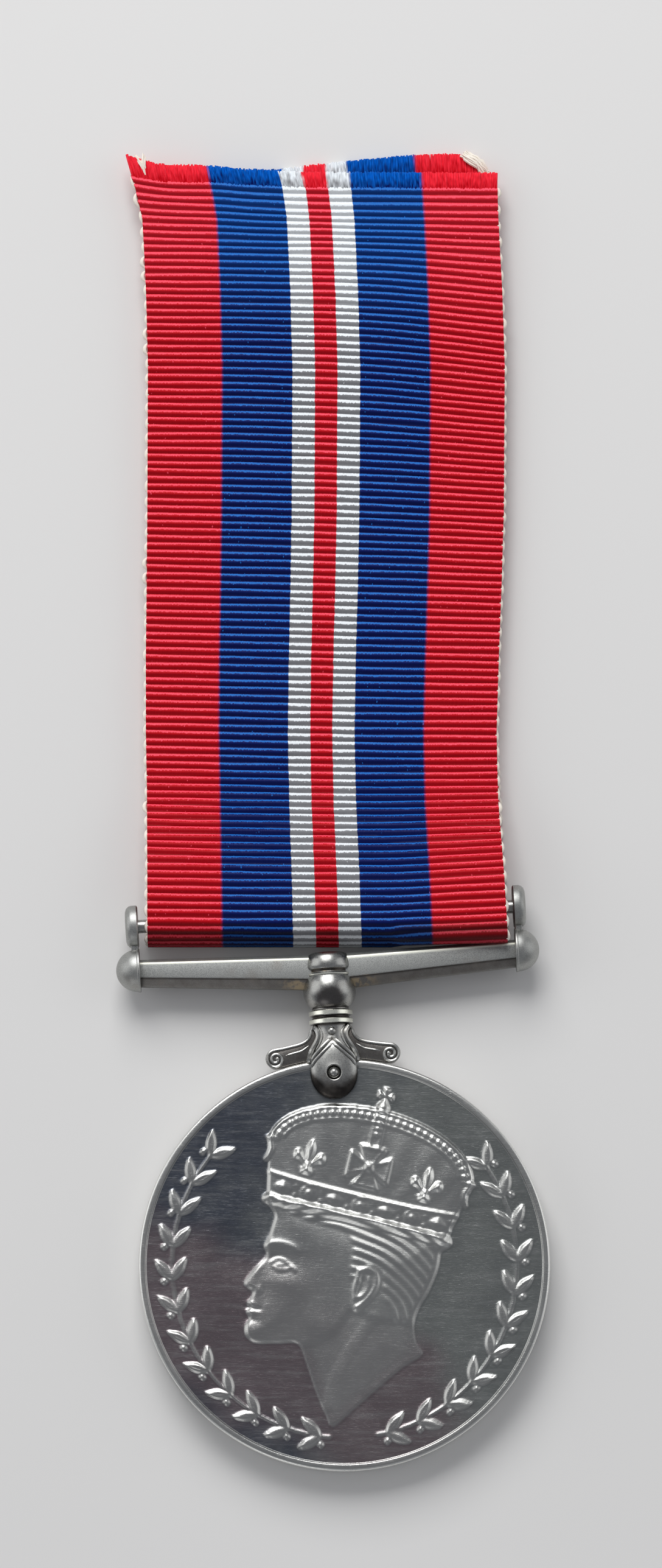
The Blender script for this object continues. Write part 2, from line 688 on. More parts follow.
def strikeFace(top):
    s = head["faceLong"]
    outline = smoothLoop(np.array(faceOutline) * s, 6)
    chosen, depth = top.plate(outline, head["edge"], head["edgeHigh"])
    within = depth > 0
    top.high[chosen[within]] += head["swell"] * (1 - np.exp(-(depth[within] / head["swellWide"]) ** 2))
    # the neck falls back behind the jaw
    jaw = np.array(jawOutline) * s
    close = top.near(jaw, 0)
    below = smoothStep(top.inside(smoothLoop(jaw, 4), close) / 0.8)
    top.high[close] -= head["neckDrop"] * below * smoothStep((top.high[close] - 0.1) / 0.15)
    for x, y, rx, ry, high in faceForms:
        top.swell((x * s, y * s), rx * s, ry * s, high)
    strikeLines(top, faceLines, s)
    # hair in strands that sweep back from the forehead
    hair = smoothLoop(np.array(hairOutline) * s, 5)
    chosen, depth = top.plate(hair, 0.35, 0.07)
    x, y = top.x[chosen] / s, top.y[chosen] / s + 0.9
    r, a = np.hypot(x, y), np.arctan2(y, x)
    curls = 1.1 * np.sin(a * 6) + 0.6 * np.sin(a * 11 + r * 5)
    wave = np.sin(r * s / head["lockWide"] * 2 * math.pi + curls)
    top.high[chosen] += head["lockHigh"] * wave * smoothStep(depth / 0.4)
    top.plate(smoothLoop(np.array(earOutline) * s, 5), 0.25, 0.08)
    strikeLines(top, earLines, s)


def crossOutline(at, size):
    quarter = np.array([(-0.3, 0.5), (0.3, 0.5), (0.08, 0.08)])
    points = []
    for q in range(4):
        c, s = math.cos(q * math.pi / 2), math.sin(q * math.pi / 2)
        points += [(x * c + y * s, y * c - x * s) for x, y in quarter]
    return np.array(points) * size + np.array(at)


def strikeCrown(top):
    wide = crown["wide"]
    half, flare = wide / 2, wide * crown["flare"]
    shoulder, peak = wide * crown["shoulder"], wide * crown["peak"]
    around = unitRing(np.radians(np.arange(0, 181, 6)))
    dome = (0, shoulder) + around * (flare, peak - shoulder)
    chosen, depth = top.plate(np.vstack([[half, 0], dome, [-half, 0]]), 0.2, 0.14, floor=0)
    within = depth > 0
    some, depth = chosen[within], depth[within]
    # the cap inside the arches falls in folds
    way = np.arctan2(top.x[some], top.y[some] + 6)
    folds = np.cos(way * 34) * smoothStep((top.y[some] - 2.4) / 1.2) * smoothStep((depth - 1) / 0.6)
    swell = 0.14 + 0.14 * (1 - np.exp(-depth / 1.4))
    top.high[some] = np.maximum(top.high[some], swell + 0.025 * folds)

    def arch(inset, count, lowest=4):
        around = unitRing(np.radians(np.linspace(lowest, 180 - lowest, count)))
        return (0, shoulder) + around * (flare - inset, peak - shoulder - inset)

    def outlined(shape, edge, high, lineHalf, lineHigh):
        top.plate(shape, edge, high)
        top.line(np.vstack([shape, shape[:1]]), lineHalf, lineHigh)

    top.line(arch(0.12, 60), 0.17, 0.16)
    top.line(arch(1.15, 60, 8), 0.15, 0.12)
    path = arch(0.64, 400, 5)
    lengths, pearls = lengthsOf(path), crown["pearls"]
    for i in range(pearls):
        at = (i + 0.5) / pearls * lengths[-1]
        top.dome([np.interp(at, lengths, line) for line in path.T], crown["pearl"], 0.2)
    # band, jewels and the line above them
    reach, high = half * 1.05, crown["bandHigh"]
    top.plate([(-half, 0), (half, 0), (reach, high), (-reach, high)], 0.2, 0.08)
    top.line(smoothPath([(-reach, 2.3), (-4, 2.05), (0, 2.0), (4, 2.05), (reach, 2.3)], 8), 0.17, 0.14)
    across, up = crown["lozenge"]
    for i in range(-3, 4):
        at = np.array((i * wide * crown["gemPitch"], crown["gemAt"]))
        if i % 2:
            outlined(at + np.array([(0, up), (across, 0), (0, -up), (-across, 0)]), 0.3, 0.2, 0.16, 0.1)
        else:
            top.dome(at, crown["gem"], 0.2)
            top.line(at + crown["gemRing"] * unitRing(np.radians(np.arange(0, 361, 12))), 0.15, 0.12)
        for dy in (-0.42, 0.42):
            top.dome(at + np.array((wide * crown["gemPitch"] / 2, dy)), 0.17, 0.12)
    top.line([(-half, 0), (half, 0)], crown["roll"], crown["rollHigh"])
    # cross and fleurs that stand on the band
    size, standing = wide * crown["cross"], wide * crown["crossAt"]
    outlined(crossOutline((0, standing), size), 0.2, 0.12, 0.18, 0.17)
    top.dome((0, standing), 0.42, 0.2)
    shape = np.array(fleurHalf + [(-x, y) for x, y in fleurHalf[:0:-1]])
    fleur = smoothLoop(shape * wide * crown["fleur"], 5)
    x, y = wide * crown["fleurAt"][0], wide * crown["fleurBand"]
    for side in (-1, 1):
        top.plate(fleur + np.array(crown["fleurAt"]) * (side * wide, wide), 0.24, 0.3)
        top.line([(side * x - 0.55, y), (side * x + 0.55, y)], 0.14, 0.12)
        # half crosses at the crown's edges
        edge = side * flare * 0.985
        top.line([(edge, 3.3), (edge * 0.965, 4.3), (edge * 1.01, 5.3)], 0.22, 0.16)
        top.line([(edge * 0.93, 5.3), (edge * 1.04, 5.25)], 0.16, 0.14)
    # pillar, orb and small cross
    for side in (-1, 1):
        top.line([(side * 0.42, peak - 0.3), (side * 0.42, standing + size * 0.55)], 0.11, 0.12)
    for i in range(4):
        top.dome((0, peak - 0.6 - i * 0.52), 0.24, 0.18)
    top.dome((0, peak + 0.25), crown["orb"], 0.34)
    top.line([(-0.5, peak + 0.3), (0.5, peak + 0.3)], 0.1, 0.06)
    top.plate(crossOutline((0, peak + 1.34), crown["topCross"]), 0.16, 0.24, floor=0)


def strikeWreath(top):
    r, long, wide = medalR - wreath["inset"], wreath["leafLong"], wreath["leafWide"] / 2
    start, step = wreath["start"], math.degrees(wreath["pitch"] / r)
    for side, reach in wreath["branches"]:
        count = int(reach / step)
        stalk = np.linspace(start - step * 0.3, start + (count - 0.8) * step, 80)
        top.line(r * unitRing(np.radians(-90 + side * stalk)), 0.15, 0.13)
        for i in range(count):
            turn = -90 + side * (start + i * step)
            for out in (-1, 1):
                leaf = top.turned(onArc(0, 0, r, turn), turn + side * (90 - out * wreath["spread"]))
                chosen = np.flatnonzero((leaf.x > 0) & (leaf.x < long) & (abs(leaf.y) < wide))
                s = leaf.x[chosen] / long
                edge = wide * np.sin(math.pi * s ** 0.85) + 1e-6
                q = np.clip(abs(leaf.y[chosen]) / edge, 0, 1)
                # full in the middle, with a fine groove for the vein
                rise = wreath["high"] * (1 - q ** 3) - 0.08 * np.clip(1 - q * 3, 0, 1)
                top.high[chosen] = np.maximum(top.high[chosen], rise)
            berry = onArc(0, 0, r + wreath["berryOut"], turn - side * 0.3)
            top.dome(berry, wreath["berry"], 0.2)


# the face is a square grid drawn round, so that it has no pole
disc = {"grid": 268, "field": 17.28, "wornSteep": (0.8, 0.16, 0.7), "wornHigh": 0.35, "rimWorn": 0.5}


def makeDisc():
    half = metal["medalThick"] / 2
    field = half - metal["rimHigh"]
    n = disc["grid"]
    clearSelection()
    bpy.ops.mesh.primitive_grid_add(x_subdivisions=n, y_subdivisions=n, size=2)
    piece = named("medal")
    points = pointsOf(piece)
    u, v = points[:, 0].copy(), points[:, 1].copy()
    border = np.flatnonzero(np.maximum(abs(u), abs(v)) > 1 - 1e-6)
    x = disc["field"] * u * np.sqrt(1 - v * v / 2)
    y = disc["field"] * v * np.sqrt(1 - u * u / 2)
    high = np.zeros(len(x))
    flat = Relief(x, y, high)
    tilted = flat.turned(head["at"], head["lean"])
    strikeCrown(tilted)
    strikeFace(tilted)
    strikeWreath(flat)
    high *= smoothStep((disc["field"] - np.hypot(x, y)) / 0.3)
    # struck metal has no knife edges: average each height a little with its neighbours
    column, row = (np.rint((w + 1) / 2 * n).astype(int) for w in (u, v))
    sheet = np.zeros((n + 1, n + 1))
    sheet[row, column] = high
    for axis in (0, 1):
        sheet = (np.roll(sheet, 1, axis) + 2 * sheet + np.roll(sheet, -1, axis)) / 4
    high = sheet[row, column]
    setPoints(piece, np.stack([x, y, field + high], 1))
    # where the design is worn bright: its tops and its steep edges
    slope = np.zeros(len(x))
    gain, least, most = disc["wornSteep"]
    edges = np.empty(len(piece.data.edges) * 2, int)
    piece.data.edges.foreach_get("vertices", edges)
    a, b = edges.reshape(-1, 2).T
    steep = abs(high[a] - high[b]) / np.maximum(np.hypot(x[a] - x[b], y[a] - y[b]), 1e-6)
    np.maximum.at(slope, a, steep)
    np.maximum.at(slope, b, steep)
    worn = np.clip(slope * gain - least, 0, most) + disc["wornHigh"] * smoothStep(high / 0.2)
    # rim, side and plain back, ring by ring
    order = border[np.argsort(np.arctan2(y[border], x[border]))]
    way = np.stack([x[order], y[order]], 1) / disc["field"]
    bend, edge = metal["rimRound"], medalR - metal["rimWide"]
    profile = [(disc["field"] + 0.04, field), (edge - 0.05, half - 0.05), (edge, half - 0.01),
               (edge + 0.06, half)]
    profile += [onArc(medalR - bend, half - bend, bend, a) for a in (90, 67.5, 45, 22.5, 0)]
    profile += [onArc(medalR - bend, bend - half, bend, a) for a in (0, -22.5, -45, -67.5, -90)]
    profile += [(edge, -half), (disc["field"], -field), (9, -field), (0.5, -field)]
    closeLoop(piece, growLoop(piece, order, [raised(way * r, z) for r, z in profile]))
    values = np.zeros(len(piece.data.vertices))
    values[:len(worn)] = worn
    points = pointsOf(piece)
    away = np.hypot(points[:, 0], points[:, 1])
    values[away > disc["field"] + 0.02] = disc["rimWorn"]
    values[away > medalR - metal["rimRound"] + 0.03] = 1
    marked(piece, "worn", values)
    tidyNormals(piece)
    finished(piece, lying, discMetal, 80)
    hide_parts("medal_disc")
    print("medal:", len(piece.data.polygons), "faces")


makeDisc()


# suspender: soldered pieces that cross each other, joined as one

# along the stem: where, and the radius or the share of its part's radius
stem = {"collarWide": 3.85, "bulbWide": 4.64, "capWide": 4.15,
        "neck": ((18.2, 1.98), (18.8, 1.9), (19.4, 1.74), (20.0, 1.6), (20.5, 1.54), (20.9, 1.57)),
        # a collar ring: how far up from its foot, how far in from its widest
        "ringsAt": (21.2, 21.94),
        "ring": ((0, 0.05), (0.06, 0), (0.38, 0), (0.44, 0.05), (0.47, 0.2), (0.55, 0.3),
                 (0.65, 0.3), (0.71, 0.2)),
        "bulb": ((22.56, 0.66), (22.66, 0.72), (22.95, 0.84), (23.3, 0.93), (23.8, 0.99), (24.3, 1),
                 (24.8, 0.975), (25.2, 0.91), (25.4, 0.86), (25.46, 0.845), (25.5, 0.87),
                 (25.6, 0.885), (25.68, 0.86), (25.74, 0.8), (25.84, 0.775), (25.96, 0.78)),
        "cap": ((26.0, 0.9), (26.06, 0.96), (26.2, 1), (26.5, 1), (26.85, 0.975), (27.15, 0.92),
                (27.38, 0.83), (27.5, 0.72), (27.55, 0.55)),
        # bright and dark bands: where, and half their width
        "worn": ((21.45, 0.2), (22.19, 0.2), (25.55, 0.06)),
        "tarnish": ((21.8, 0.07), (22.55, 0.06), (25.88, 0.1), (21.1, 0.07))}
bar = {"high": 3.15, "endHigh": 2.38, "thick": 2.0, "side": 0.9, "lower": 0.97, "endLower": 0.79,
       "upper": 0.33, "topAt": 27.35, "rise": 0.42, "reach": 16.65, "soft": 0.07}
ends = {"knobWide": 3.74, "knobAt": 26.87, "stopWide": 3.76, "stopAt": 16.55, "rodWide": 1.2,
        "rodAt": 30.75, "rodReach": 16.6}
claw = {"half": 2.075, "tip": 2.3, "shoulder": 3.0, "wall": 1.68, "top": 2.35, "hole": 0.57,
        "slotGap": 0.12}
pin = {"wide": 1.06, "back": -2.28, "shoulder": 2.06, "head": 0.8, "top": 2.56}
# points right of the stem, as (x, y) or (x, y, z)
neckLine = {"chevrons": ((0.14, ((0, 19.4), (0.5, 19.0), (1.1, 18.45), (1.7, 17.85), (1.97, 17.35))),
                         (0.16, ((0, 19.95), (0.5, 19.5), (1.1, 18.95), (1.7, 18.3), (1.97, 17.75)))),
            "ridge": ((1.72, 21.05, 0.9), (1.42, 20.8, 0.9), (1.22, 20.4, 1.0), (1.24, 19.95, 1.02),
                      (1.5, 19.45, 1.0), (1.82, 18.95, 1.02), (2.02, 18.5, 1.2), (2.12, 18.15, 1.48),
                      (2.1, 17.8, 1.78)), "ridgeR": 0.26,
            "inner": ((1.15, 21.0), (0.98, 20.7), (0.85, 20.35), (0.88, 19.9), (1.15, 19.35),
                      (1.55, 18.8)), "innerR": 0.09}
scroll = {"curl": (5.05, 18.29), "curlR": 0.85, "thick": 1.8, "lineR": 0.15, "turns": 26, "footR": 18.13,
          "top": [(1.2, 21.0), (1.72, 20.9), (1.85, 20.5), (1.98, 20.1), (2.35, 19.72), (2.95, 19.48),
                  (3.7, 19.33), (4.4, 19.2)],
          "inner": ((2.1, 19.35), (2.7, 18.95), (3.5, 18.75), (4.15, 18.6))}


def makeStem():
    ring, bulb, cap = (stem[wide] / 2 for wide in ("collarWide", "bulbWide", "capWide"))
    profile = [(18.14, 1.7), *stem["neck"], (21.12, 1.62), (21.16, ring - 0.12)]
    for foot in stem["ringsAt"]:
        profile += [(foot + up, ring - inset) for up, inset in stem["ring"]]
    # the bulb begins instead of the second ring's last step
    profile.pop()
    profile += [(at, bulb * share) for at, share in stem["bulb"]]
    profile += [(at, cap * share) for at, share in stem["cap"]] + [(27.55, 0.3)]
    piece = turned("stem", profile, 72, "Y")
    along = pointsOf(piece)[:, 1]
    # the collar rings and the line under the cap are worn bright, the grooves between are dark
    for name in ("worn", "tarnish"):
        marked(piece, name, sum(abs(along - at) < half for at, half in stem[name]) > 0)
    return piece


def makeClaw():
    unit = unitRing(evenAngles(72))
    c, s = unit.T
    circle = unit * claw["half"]
    # egg: round below the pin, drawn in towards a point above it
    egg = np.stack([claw["half"] * c * np.where(s > 0, 1 - 0.22 * s ** 2, 1),
                    s * np.where(s < 0, claw["tip"], claw["shoulder"])], 1)

    def ring(flat, share, side=1, bump=0):
        dome = (claw["top"] - claw["wall"]) * math.sqrt(1 - share ** 2)
        return raised(flat + (0, pinY), side * (claw["wall"] + dome) + bump)

    # the pin's hole opens into a small round recess with a raised lip
    hole = claw["hole"] / claw["half"]
    rings = [ring(circle * share, share, 1, bump) for share, bump in
             ((hole, -0.3), (hole + 0.02, -0.2), (0.3, -0.12), (0.315, -0.02), (0.345, 0.015))]
    for share in (0.42, 0.52, 0.62, 0.71, 0.79, 0.86, 0.92, 0.965, 0.99, 1.0):
        blend = smoothStep((share - 0.3) / 0.5)
        rings.append(ring((circle * (1 - blend) + egg * blend) * share, share))
    rings += [ring(egg * share, share, -1) for share in (1.0, 0.97, 0.9, 0.78, 0.6, 0.45, 0.33)]
    rings.append(ring(unit * claw["hole"], 0, -1, 0.06))
    piece = lofted("claw", rings, closed=False)
    # the hole's wall joins the first ring to the last
    activate(piece)
    bpy.ops.object.mode_set(mode="EDIT")
    bpy.ops.mesh.select_mode(type="EDGE")
    bpy.ops.mesh.select_all(action="DESELECT")
    bpy.ops.mesh.select_non_manifold()
    bpy.ops.mesh.bridge_edge_loops()
    objectMode()
    tidyNormals(piece)
    # the slot for the medal's edge
    clearSelection()
    bpy.ops.mesh.primitive_cylinder_add(vertices=256, radius=medalR + claw["slotGap"],
                                        depth=metal["medalThick"] + 2 * claw["slotGap"])
    return cutBy(piece, named("slot"))


# height of the neck's surface at a place, and of the claw's
def onNeck(x, y, lift=0):
    along, radii = np.array([(17.6, 1.5), *stem["neck"]]).T
    r = float(np.interp(y, along, radii))
    return math.sqrt(max(r * r - x * x, 0.4)) + lift


def onClaw(x, y, lift=0):
    share = min(1, math.hypot(x / claw["half"], (y - pinY) / claw["shoulder"]))
    return claw["wall"] + (claw["top"] - claw["wall"]) * math.sqrt(1 - share ** 2) + lift


def makePin():
    half, head, shoulder = pin["wide"] / 2, pin["head"] / 2, pin["shoulder"]
    # height along the pin, radius
    profile = [(pin["back"], 0.1), (pin["back"], half - 0.06), (pin["back"] + 0.06, half),
               (shoulder - 0.06, half), (shoulder, half - 0.06), (shoulder + 0.01, head + 0.06),
               (shoulder + 0.05, head)]
    dome = pin["top"] - shoulder - 0.15
    profile += [(shoulder + 0.15 + dome * math.sin(math.radians(a)), head * math.cos(math.radians(a)))
                for a in (0, 15, 30, 45, 60, 75, 86)]
    piece = turned("claw_pin_metal", profile, 40, "Z", (0, pinY, 0))
    finished(piece, lying, suspenderMetal, 50)
    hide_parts("claw_pin")


def makeNeckLines():
    parts = []
    for side in (-1, 1):
        for r, way in neckLine["chevrons"]:
            points = [(side * x, y, max(onClaw(x, y, 0.06), onNeck(x, y, 0.03))) for x, y in way]
            parts.append(wire("chevron", points, r))
        points = [(side * x, y, max(z, onNeck(x, y)) if x < 1.5 else z) for x, y, z in neckLine["ridge"]]
        parts.append(wire("ridge", points, neckLine["ridgeR"]))
        points = [(side * x, y, onNeck(x, y)) for x, y in neckLine["inner"]]
        parts.append(wire("neck_line", points, neckLine["innerR"]))
    parts.append(ball("pearl", (0, 20.5, 1.4), 0.42, 24, 14))
    return parts


def makeScrolls():
    parts = []
    cx, cy = scroll["curl"]
    r, turns, top = scroll["curlR"], scroll["turns"], scroll["top"]
    outline = top + [onArc(cx, cy, r * 0.9, a) for a in range(90, -100, -15)]
    outline += [onArc(0, 0, scroll["footR"], a) for a in (76, 79, 82, 85)]
    spiral = [onArc(cx, cy, r * 0.98 * (1 - 0.8 * i / turns), 90 - i * 25) for i in range(turns + 1)]
    back, front = -scroll["thick"] / 2, scroll["thick"] / 2 - 0.1
    for side in (-1, 1):
        rings = [raised(np.array(outline) * (side, 1), z) for z in (back, front)]
        parts.append(marked(softened(lofted("scroll", rings), 0.08), "tarnish", 0.6))
        edge = [(side * x, y, front + 0.02) for x, y in top[1:] + spiral]
        parts.append(wire("scroll_line", edge, scroll["lineR"], 2))
        parts.append(ball("scroll_eye", (side * spiral[-1][0], spiral[-1][1], front), 0.22, 14, 8))
        parts.append(wire("scroll_inner", [(side * x, y, front) for x, y in scroll["inner"]], 0.1))
    return parts


def makeBar():
    top = bar["topAt"]
    # in the middle and at the ends: lower edge, upper edge, lower chamfer
    spans = ((top - bar["high"], top + bar["rise"] - bar["endHigh"]), (top, top + bar["rise"]),
             (bar["lower"], bar["endLower"]))

    def edgesAt(share):
        return [middle + (end - middle) * share for middle, end in spans]

    z, side = bar["thick"] / 2, bar["side"] / 2
    rings = []
    for x in (-bar["reach"], 0, bar["reach"]):
        a, b, lower = edgesAt(abs(x) / bar["reach"])
        section = [(a, side), (a + lower, z), (b - bar["upper"], z), (b, side), (b, -side),
                   (b - bar["upper"], -z), (a + lower, -z), (a, -side)]
        rings.append(np.array([(x, y, level) for y, level in section]))
    piece = marked(softened(lofted("bar", rings), bar["soft"]), "grained", 1)
    # the lower chamfer is tarnished, most of all just below the face, and the top edge is worn bright
    x, y, level = pointsOf(piece).T
    a, b, lower = edgesAt(abs(x) / bar["reach"])
    above = (y - a) / lower
    marked(piece, "tarnish", np.where(above < 0.985, np.clip(0.45 + above * 0.55, 0.3, 1), 0))
    marked(piece, "worn", (abs(y - b + bar["upper"]) < bar["soft"] * 1.2) & (level > z - 0.2))
    return piece


def makeEnds():
    parts = []
    start, r, s = ends["stopAt"], ends["knobWide"] / 2, ends["stopWide"] / 2
    # how far out from the bar's end, radius
    knob = [(0, r * 0.5), (0, r + 0.03), (0.05, r + 0.075), (0.18, r + 0.075), (0.24, r + 0.03),
            (0.26, r)] + [onArc(0.26, 0, r, a) for a in range(82, 1, -8)]
    stop = [(0, s * 0.5), (0, s - 0.1), (0.1, s), (0.55, s), (0.8, s * 0.96), (1.0, s * 0.86),
            (1.1, s * 0.7), (1.1, 0.2)]
    for side in (-1, 1):
        for name, profile, at in (("knob", knob, ends["knobAt"]), ("stop", stop, ends["rodAt"])):
            piece = turned(name, [(side * (start + out), w) for out, w in profile], 48, "X", (0, at, 0))
            parts.append(marked(piece, "grained", 0.6))
        clearSelection()
        bpy.ops.mesh.primitive_cube_add(size=1, location=(side * (start + 0.38), 28.81, 0),
                                        scale=(0.64, 3.88, 1.3))
        bpy.ops.object.transform_apply(location=True, scale=True)
        parts.append(softened(named("web"), 0.1))
    rod = [(side * ends["rodReach"], ends["rodWide"] / 2) for side in (-1, 1)]
    return parts + [turned("rod", rod, 32, "X", (0, ends["rodAt"], 0))]


def makeSuspender():
    parts = [makeStem(), makeClaw(), makeBar()] + makeNeckLines() + makeScrolls() + makeEnds()
    piece = joined("suspender_metal", parts)
    finished(piece, lying, suspenderMetal, 32)
    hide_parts("suspender")
    print("suspender:", len(piece.data.polygons), "faces")


makeSuspender()
makePin()


# ribbon: one strip of ribbed silk, from the front layer's cut end, round the rod, to the back one's

ribbon = {"wide": 31.9, "cadThick": 1.0, "frontLong": 70.3, "backExtra": 2, "layerGap": 0.15,
          "rodGap": 0.3, "barGap": 0.15, "fall": 17, "columns": 34, "ribHigh": 0.15,
          "ribWide": 0.645, "ribGrows": 0.055, "outer": 0.28, "wall": 0.5, "fringe": 1.5,
          # how soon the ribs leave the cut end's slant, and the bends where the fold is pressed
          "slantLong": 7.7, "tightBend": 0.54, "halfPress": 0.07, "bendSteps": 14, "fallSteps": 16,
          # the front's left corner: share of the width, length, and how far it bends up
          "cornerWide": 0.12, "cornerLong": 2.2, "cornerBend": (-0.5, 0.9, 0.4)}
# share of the length, shift of the middle as a share of the width, width share
frontShape = np.array([
    (0.0, 0.0, 0.994), (0.09, -0.006, 0.984), (0.18, -0.014, 0.974), (0.276, -0.018, 0.975),
    (0.37, -0.015, 0.983), (0.464, -0.01, 0.99), (0.558, -0.006, 0.996), (0.746, -0.004, 1.0),
    (0.842, -0.01, 1.0), (0.937, -0.02, 1.0), (0.975, -0.03, 1.015), (1.0, -0.039, 1.03)])
backShape = np.array([(0.0, 0.0, 0.994), (0.276, -0.018, 0.97), (0.558, -0.008, 0.975),
                      (0.842, -0.014, 0.975), (1.0, -0.04, 0.97)])
# share of the width, how far the front end falls short, how far the back end does
cutEnds = np.array([
    (0.0, -0.65, 1.9), (0.22, -0.6, 1.8), (0.3, -0.3, 1.7), (0.42, -0.05, 1.35),
    (0.55, 0.03, 0.85), (0.8, 0.05, 0.1), (0.93, 0.08, 0.0), (1.0, 0.08, 1.5)])
# share of the front's length, how far the ribs drop at a third, two thirds and all the way across
ribDrop = np.array([(0.02, 0.0, 0.0, 0.0), (0.05, 0.25, 0.4, 0.5), (0.13, 0.15, 0.42, 1.3),
                    (0.21, 0.1, 0.5, 1.68), (0.29, 0.15, 0.6, 1.6), (0.44, 0.22, 0.58, 1.12),
                    (0.6, 0.23, 0.49, 0.72), (0.75, 0.22, 0.39, 0.42), (0.9, 0.18, 0.27, 0.08),
                    (1.0, 0.05, 0.05, 0.0)])
turn = math.radians(metal["turn"])
rodAt = ends["rodAt"]
rodMidX = -rodAt * math.cos(restTilt) * math.sin(turn)
ribbonMidX = rodMidX + 0.2


def turnedY(y, x):
    return y * math.cos(restTilt) / math.cos(turn) + x * math.tan(turn)


foldY = (turnedY(rodAt, ribbonMidX - ribbon["wide"] / 2) - ends["rodWide"] / 2 - ribbon["rodGap"]
         - ribbon["cadThick"])
rodZ = rodAt * math.sin(restTilt) + metalLift
foldZ = rodZ + ends["rodWide"] / 2 + ribbon["rodGap"] + ribbon["cadThick"] / 2
frontZ = ribbon["cadThick"] * 1.5 + ribbon["layerGap"]
ribbonTop = foldY + ribbon["frontLong"] + ribbon["backExtra"]


def roundedCorner(before, at, after, r, steps):
    before, at, after = (np.array(p, float) for p in (before, at, after))
    p, q = before - at, after - at
    p, q = p / np.linalg.norm(p), q / np.linalg.norm(q)
    half = math.acos(float(np.clip(p @ q, -1, 1))) / 2
    reach = r / math.tan(half)
    middle = at + (p + q) / np.linalg.norm(p + q) * r / math.sin(half)
    start, end = at + p * reach - middle, at + q * reach - middle
    whole = math.pi - 2 * half
    return [tuple(middle + (start * math.sin(whole - whole * i / steps)
                            + end * math.sin(whole * i / steps)) / math.sin(whole))
            for i in range(steps + 1)]


# middle line of the strip at one place across it, from the front's cut end, as (y, z)
def columnPath(share):
    x = ribbonMidX + (share - 0.5) * ribbon["wide"]
    barTop = turnedY(bar["topAt"] + abs(x - rodMidX) * bar["rise"] / ends["stopAt"], x)
    over = max(0, barTop + ribbon["barGap"] - foldY)
    t = ribbon["cadThick"]
    lowZ, topZ, noseY = t / 2, foldZ + 1.1 * over, foldY + t / 2
    full = (topZ - lowZ) / 2 * 0.995
    # where the bar overlaps it, the fold is pressed to a tight bend that leans over the bar
    press = over / (over + ribbon["halfPress"] * t)
    noseR = full / (1 + (full / (ribbon["tightBend"] * t) - 1) * press)
    footR = full / (1 + 0.8 * press)
    footY = noseY + t * press + 2.4 * over
    noseAt = noseY - noseR * (footY - noseY) / (topZ - noseR - lowZ)
    nose, foot = (noseAt, topZ), (footY, lowZ)
    frontShort, backShort = (np.interp(share, cutEnds[:, 0], cutEnds[:, k]) for k in (1, 2))
    fallFrom, fallTo = max(foldY + 4.2, turnedY(rodAt, x) + 0.2), foldY + ribbon["fall"]
    inner = (footY + 5, lowZ)
    path = [(ribbonTop - backShort, lowZ), inner]
    path += roundedCorner(inner, foot, nose, footR, ribbon["bendSteps"])
    path += roundedCorner(foot, nose, (noseAt + 6, topZ), noseR, ribbon["bendSteps"])
    for s in np.linspace(0, 1, ribbon["fallSteps"]):
        high = frontZ + (topZ - frontZ) * (1 + math.cos(math.pi * s)) / 2
        path.append((fallFrom + (fallTo - fallFrom) * s, high))
    path.append((foldY + ribbon["frontLong"] - frontShort, frontZ))
    return np.array(path[::-1])


def acrossAt(share, y, front):
    table = frontShape if front else backShape
    long = ribbon["frontLong"] + (0 if front else ribbon["backExtra"])
    at = np.clip((y - foldY) / long, 0, 1)
    shift, width = (np.interp(at, table[:, 0], table[:, k]) for k in (1, 2))
    return ribbonMidX + ribbon["wide"] * (shift + (share - 0.5) * width)


# distances from the front's cut end of every groove between ribs
def ribPlaces(long):
    places = [ribbon["fringe"]]
    while places[-1] < long - ribbon["fringe"]:
        share = min(1, places[-1] / ribbon["frontLong"])
        places.append(places[-1] + ribbon["ribWide"] + ribbon["ribGrows"] * share)
    return np.array(places[:-1])


# where the rows of points lie on each rib, as shares of its width
ribRows = (0, 0.12, 0.3, 0.5, 0.7, 0.88)


def dropAt(share, along):
    at = along / ribbon["frontLong"]
    third, second, whole = (np.interp(at, ribDrop[:, 0], ribDrop[:, k]) for k in (1, 2, 3))
    return smoothPick(share, [0 * at, third, second, whole]) * (at <= 1)


# between evenly spaced values, with a smooth curve through them
def smoothPick(share, values):
    spot = min(share * (len(values) - 1), len(values) - 1.001)
    i = int(spot)
    before = values[i - 1] if i else 2 * values[0] - values[1]
    after = values[i + 2] if i + 2 < len(values) else 2 * values[-1] - values[-2]
    return catmull(before, values[i], values[i + 1], after, spot - i)


